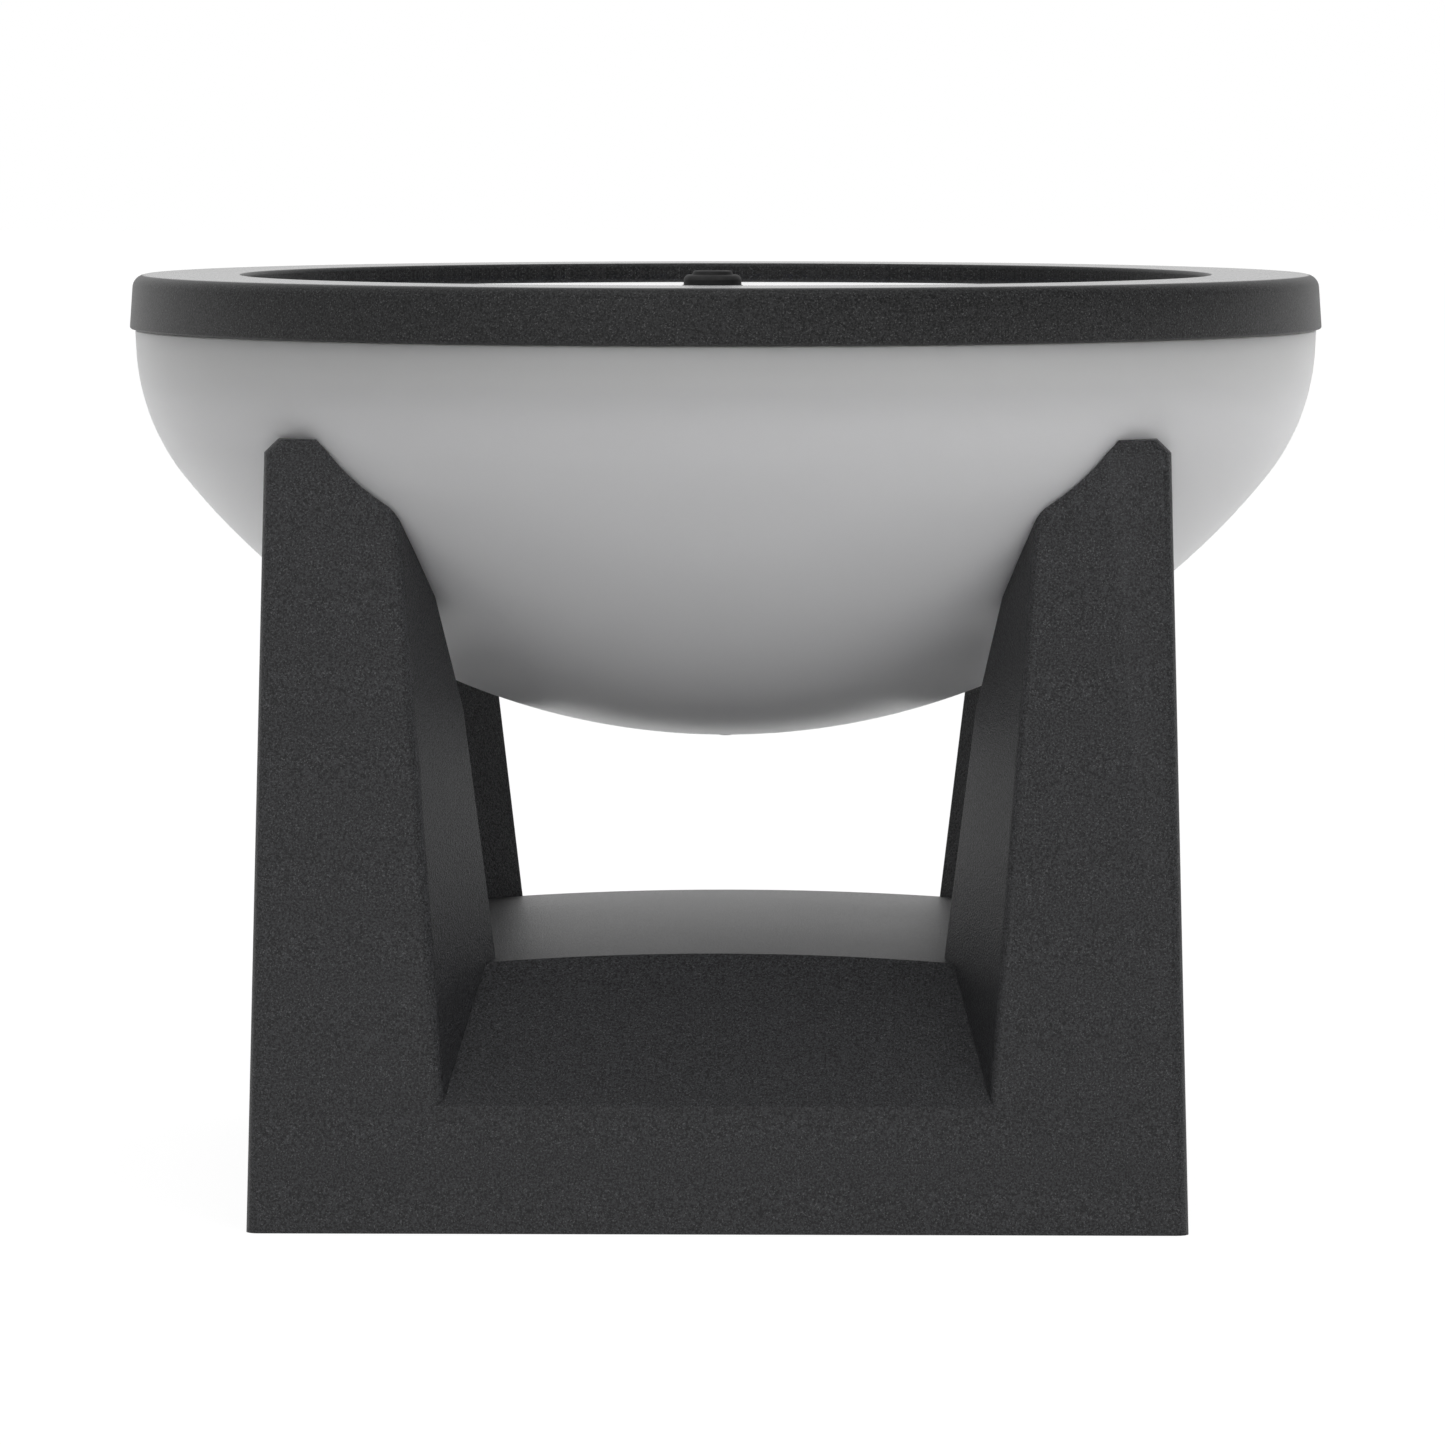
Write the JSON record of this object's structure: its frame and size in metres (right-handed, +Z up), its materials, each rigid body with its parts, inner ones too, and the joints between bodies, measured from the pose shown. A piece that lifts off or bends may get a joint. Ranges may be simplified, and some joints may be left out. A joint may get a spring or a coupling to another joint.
{
  "type": "solar bowl lamp",
  "caption": "Solar lamp with an opal bowl set in a square stand of splayed legs, closed by a ring cap with a round solar panel and a push button.",
  "frame": {"origin": "centre of the stand's underside, on the ground", "axes": "+Z up along the bowl's axis; +X and +Y square to the stand's sides; the push button is on the -Y side of the panel"},
  "size_m": [0.2, 0.2, 0.1539],
  "materials": {
    "black_textured_plastic": "fine spark texture",
    "opal_plastic": "milky, lets light through, smooth outside",
    "black_plastic": "satin",
    "black_rubber": "matt",
    "foam_tape": "foam",
    "circuit_board": "solder mask",
    "solar_silicon": "dark blue cells",
    "clear_resin": "clear, glossy",
    "white_plastic": "smooth",
    "zinc_steel": "zinc plated",
    "white_board": "white solder mask",
    "lamp_phosphor": "yellow phosphor",
    "component_black": "moulded",
    "battery_wrap": "plain sleeve",
    "spring_steel": "nickel plated",
    "red_lead": "insulation",
    "black_lead": "insulation",
    "white_lead": "insulation"
  },
  "bodies": {
    "base": {"stand": "black_textured_plastic", "diffuser_bowl": "opal_plastic", "bowl_screws": "zinc_steel", "bowl_screw_washers": "black_rubber"},
    "cap": {"ring_cap": "black_plastic", "rim_seal": "black_rubber", "panel_tape": "foam_tape", "panel_board": "circuit_board", "solar_cells": "solar_silicon", "panel_glaze": "clear_resin", "lamp_tray": "black_plastic", "tray_screws": "zinc_steel", "lamp_board": "white_board", "lamps": "lamp_phosphor", "lamp_board_screws": "zinc_steel", "control_board": "circuit_board", "board_parts": "component_black", "control_board_screws": "zinc_steel", "push_switch": "component_black", "battery_holder": "component_black", "battery_cell": "battery_wrap", "battery_contacts": "spring_steel", "panel_leads": "red_lead", "battery_leads": "black_lead", "lamp_leads": "white_lead", "button_collar": "black_rubber"},
    "button": {"button_key": "black_rubber", "switch_plunger": "white_plastic"}
  },
  "joints": [
    {"name": "cap_twist", "type": "hinge", "parent": "base", "child": "cap", "pos_m": [0, 0, 0.143], "axis": [0, 0, 1], "range_deg": [0, 26]},
    {"name": "button_press", "type": "slide", "parent": "cap", "child": "button", "axis": [0, 0, -1], "range_m": [0, 0.0014], "stiffness_N_per_m": 600, "springref_m": -0.001}
  ]
}
